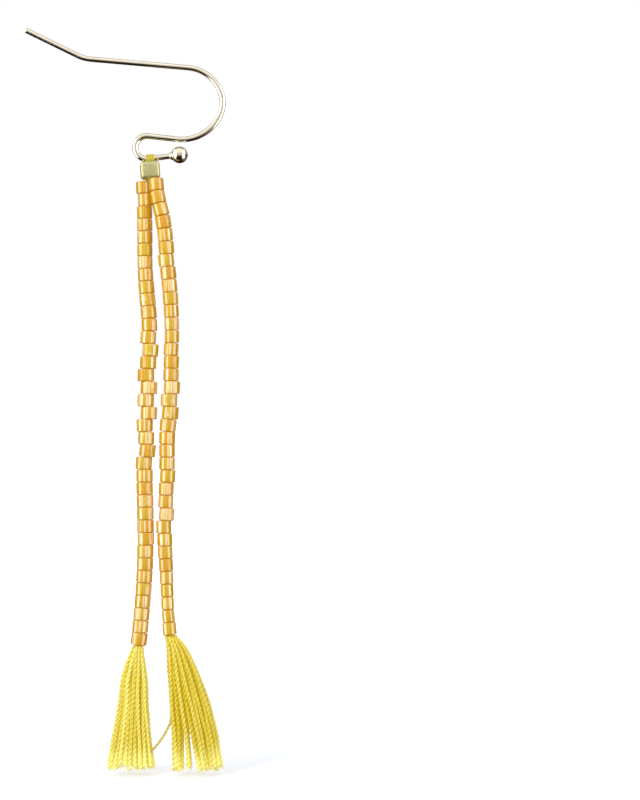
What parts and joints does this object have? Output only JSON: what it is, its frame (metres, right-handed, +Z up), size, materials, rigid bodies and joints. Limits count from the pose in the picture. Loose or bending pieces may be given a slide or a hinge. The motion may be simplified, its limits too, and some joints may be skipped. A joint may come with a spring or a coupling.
{
  "type": "tassel earring",
  "caption": "Drop earring: a bent ear wire carries a small square metal bead and two strings of glass cylinder beads that end in thread tassels.",
  "frame": {"origin": "inner side of the ear wire's crown, where the ear lobe would carry it", "axes": "+Z up with the two strings hanging down -Z, +X from the wire's tail towards its crown in the plane of the wire, -Y the front that the picture shows"},
  "size_m": [0.0208, 0.0032, 0.0768],
  "materials": {
    "gold_wire": "polished pale gold plating",
    "square_metal": "satin, slightly dull",
    "glass": "golden orange lustre, glossy",
    "yellow_thread": "twisted thread with a soft sheen"
  },
  "bodies": {
    "root": {"ear_hook": "gold_wire", "square_bead": "square_metal", "thread": "yellow_thread", "bead_string_left": "glass", "bead_string_right": "glass", "tassel_left": "yellow_thread", "tassel_right": "yellow_thread"}
  },
  "joints": []
}
